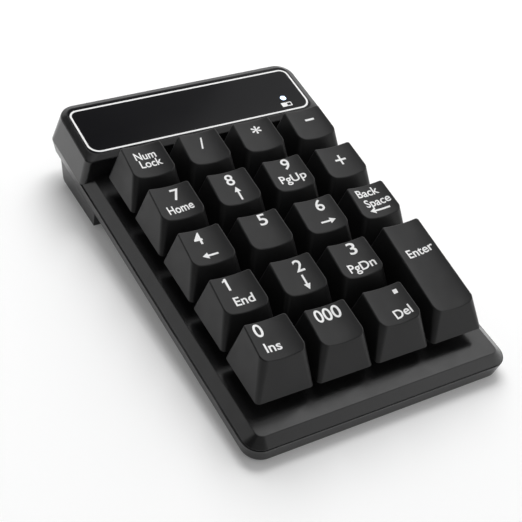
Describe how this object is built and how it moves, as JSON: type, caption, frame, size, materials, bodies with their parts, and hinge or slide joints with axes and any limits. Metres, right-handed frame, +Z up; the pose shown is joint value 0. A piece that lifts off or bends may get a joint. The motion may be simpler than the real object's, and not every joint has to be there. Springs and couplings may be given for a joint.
{
  "type": "numeric keypad",
  "caption": "Wireless numeric keypad: tall sculpted keys on a low wedge case with a glossy rear panel, sprung keys, battery door and stowed receiver.",
  "frame": {"origin": "on the desk, under the middle of the case", "axes": "+X to the right of the keypad, +Y away from the user towards the raised rear panel, +Z up"},
  "size_m": [0.0872, 0.1342, 0.0286],
  "materials": {
    "case_plastic": "fine moulded texture, matte black",
    "key_plastic": "satin black, very fine texture",
    "panel_gloss": "polished black, smooth",
    "plunger_plastic": "smooth black moulding",
    "dome_rubber": "soft silicone, pale grey",
    "contact_film": "clear polyester film with printed tracks",
    "plate_steel": "bright rolled steel sheet",
    "board_green": "green solder mask",
    "chip_black": "moulded epoxy",
    "led_lens": "clear blue-white lens",
    "battery_wrap": "plain dark sleeve, satin",
    "spring_steel": "nickel plate",
    "screw_steel": "dark zinc plate",
    "foot_rubber": "soft black rubber",
    "switch_metal": "tinned steel can",
    "knob_plastic": "smooth black moulding",
    "receiver_plastic": "fine texture, black",
    "plug_metal": "bright nickel plate",
    "wire_steel": "bright drawn wire",
    "legend_ink": "flat white printed ink"
  },
  "bodies": {
    "case": {"top_case": "case_plastic", "bottom_case": "case_plastic", "lens_panel": "panel_gloss", "dome_sheet": "dome_rubber", "membrane_upper": "contact_film", "membrane_spacer": "contact_film", "membrane_lower": "contact_film", "support_plate": "plate_steel", "controller_board": "board_green", "controller_chip": "chip_black", "status_led": "led_lens", "battery_cell": "battery_wrap", "battery_contacts": "spring_steel", "case_screws": "screw_steel", "rubber_feet": "foot_rubber", "switch_body": "switch_metal"},
    "key_num_lock": {"keycap_num_lock": "key_plastic", "plunger_num_lock": "plunger_plastic"},
    "key_divide": {"keycap_divide": "key_plastic", "plunger_divide": "plunger_plastic"},
    "key_multiply": {"keycap_multiply": "key_plastic", "plunger_multiply": "plunger_plastic"},
    "key_minus": {"keycap_minus": "key_plastic", "plunger_minus": "plunger_plastic"},
    "key_7": {"keycap_7": "key_plastic", "plunger_7": "plunger_plastic"},
    "key_8": {"keycap_8": "key_plastic", "plunger_8": "plunger_plastic"},
    "key_9": {"keycap_9": "key_plastic", "plunger_9": "plunger_plastic"},
    "key_plus": {"keycap_plus": "key_plastic", "plunger_plus": "plunger_plastic"},
    "key_4": {"keycap_4": "key_plastic", "plunger_4": "plunger_plastic"},
    "key_5": {"keycap_5": "key_plastic", "plunger_5": "plunger_plastic"},
    "key_6": {"keycap_6": "key_plastic", "plunger_6": "plunger_plastic"},
    "key_backspace": {"keycap_backspace": "key_plastic", "plunger_backspace": "plunger_plastic"},
    "key_1": {"keycap_1": "key_plastic", "plunger_1": "plunger_plastic"},
    "key_2": {"keycap_2": "key_plastic", "plunger_2": "plunger_plastic"},
    "key_3": {"keycap_3": "key_plastic", "plunger_3": "plunger_plastic"},
    "key_enter": {"keycap_enter": "key_plastic", "plunger_enter": "plunger_plastic"},
    "key_0": {"keycap_0": "key_plastic", "plunger_0": "plunger_plastic"},
    "key_000": {"keycap_000": "key_plastic", "plunger_000": "plunger_plastic"},
    "key_decimal": {"keycap_decimal": "key_plastic", "plunger_decimal": "plunger_plastic"},
    "stabiliser": {"stabiliser_bar": "wire_steel"},
    "battery_door": {"battery_door": "case_plastic"},
    "power_knob": {"switch_knob": "knob_plastic"},
    "receiver": {"receiver_shell": "receiver_plastic", "receiver_plug": "plug_metal"}
  },
  "joints": [
    {"name": "key_num_lock_press", "type": "slide", "parent": "case", "child": "key_num_lock", "axis": [0, 0.0576, -0.9983], "range_m": [0, 0.0035], "stiffness_N_per_m": 150, "springref_m": -0.002},
    {"name": "key_divide_press", "type": "slide", "parent": "case", "child": "key_divide", "axis": [0, 0.0576, -0.9983], "range_m": [0, 0.0035], "stiffness_N_per_m": 150, "springref_m": -0.002},
    {"name": "key_multiply_press", "type": "slide", "parent": "case", "child": "key_multiply", "axis": [0, 0.0576, -0.9983], "range_m": [0, 0.0035], "stiffness_N_per_m": 150, "springref_m": -0.002},
    {"name": "key_minus_press", "type": "slide", "parent": "case", "child": "key_minus", "axis": [0, 0.0576, -0.9983], "range_m": [0, 0.0035], "stiffness_N_per_m": 150, "springref_m": -0.002},
    {"name": "key_7_press", "type": "slide", "parent": "case", "child": "key_7", "axis": [0, 0.0576, -0.9983], "range_m": [0, 0.0035], "stiffness_N_per_m": 150, "springref_m": -0.002, "deforming": ["dome_sheet"]},
    {"name": "key_8_press", "type": "slide", "parent": "case", "child": "key_8", "axis": [0, 0.0576, -0.9983], "range_m": [0, 0.0035], "stiffness_N_per_m": 150, "springref_m": -0.002},
    {"name": "key_9_press", "type": "slide", "parent": "case", "child": "key_9", "axis": [0, 0.0576, -0.9983], "range_m": [0, 0.0035], "stiffness_N_per_m": 150, "springref_m": -0.002},
    {"name": "key_plus_press", "type": "slide", "parent": "case", "child": "key_plus", "axis": [0, 0.0576, -0.9983], "range_m": [0, 0.0035], "stiffness_N_per_m": 150, "springref_m": -0.002},
    {"name": "key_4_press", "type": "slide", "parent": "case", "child": "key_4", "axis": [0, 0.0576, -0.9983], "range_m": [0, 0.0035], "stiffness_N_per_m": 150, "springref_m": -0.002},
    {"name": "key_5_press", "type": "slide", "parent": "case", "child": "key_5", "axis": [0, 0.0576, -0.9983], "range_m": [0, 0.0035], "stiffness_N_per_m": 150, "springref_m": -0.002},
    {"name": "key_6_press", "type": "slide", "parent": "case", "child": "key_6", "axis": [0, 0.0576, -0.9983], "range_m": [0, 0.0035], "stiffness_N_per_m": 150, "springref_m": -0.002},
    {"name": "key_backspace_press", "type": "slide", "parent": "case", "child": "key_backspace", "axis": [0, 0.0576, -0.9983], "range_m": [0, 0.0035], "stiffness_N_per_m": 150, "springref_m": -0.002},
    {"name": "key_1_press", "type": "slide", "parent": "case", "child": "key_1", "axis": [0, 0.0576, -0.9983], "range_m": [0, 0.0035], "stiffness_N_per_m": 150, "springref_m": -0.002},
    {"name": "key_2_press", "type": "slide", "parent": "case", "child": "key_2", "axis": [0, 0.0576, -0.9983], "range_m": [0, 0.0035], "stiffness_N_per_m": 150, "springref_m": -0.002},
    {"name": "key_3_press", "type": "slide", "parent": "case", "child": "key_3", "axis": [0, 0.0576, -0.9983], "range_m": [0, 0.0035], "stiffness_N_per_m": 150, "springref_m": -0.002},
    {"name": "key_enter_press", "type": "slide", "parent": "case", "child": "key_enter", "axis": [0, 0.0576, -0.9983], "range_m": [0, 0.0035], "stiffness_N_per_m": 150, "springref_m": -0.002},
    {"name": "key_0_press", "type": "slide", "parent": "case", "child": "key_0", "axis": [0, 0.0576, -0.9983], "range_m": [0, 0.0035], "stiffness_N_per_m": 150, "springref_m": -0.002},
    {"name": "key_000_press", "type": "slide", "parent": "case", "child": "key_000", "axis": [0, 0.0576, -0.9983], "range_m": [0, 0.0035], "stiffness_N_per_m": 150, "springref_m": -0.002},
    {"name": "key_decimal_press", "type": "slide", "parent": "case", "child": "key_decimal", "axis": [0, 0.0576, -0.9983], "range_m": [0, 0.0035], "stiffness_N_per_m": 150, "springref_m": -0.002},
    {"name": "stabiliser_swing", "type": "hinge", "parent": "case", "child": "stabiliser", "pos_m": [0.02278, -0.03917, 0.01157], "axis": [0, 0.9983, 0.0576], "range_deg": [0, 22.6]},
    {"name": "battery_door_slide", "type": "slide", "parent": "case", "child": "battery_door", "axis": [0, 1, 0], "range_m": [0, 0.0165]},
    {"name": "power_switch_slide", "type": "slide", "parent": "case", "child": "power_knob", "axis": [1, 0, 0], "range_m": [0, 0.003]},
    {"name": "receiver_slide", "type": "slide", "parent": "case", "child": "receiver", "axis": [0, 0.9983, 0.0576], "range_m": [0, 0.019]}
  ],
  "couplings": [
    {"joint": "stabiliser_swing", "follows": "key_enter_press", "rad_per_m": 111.82}
  ]
}
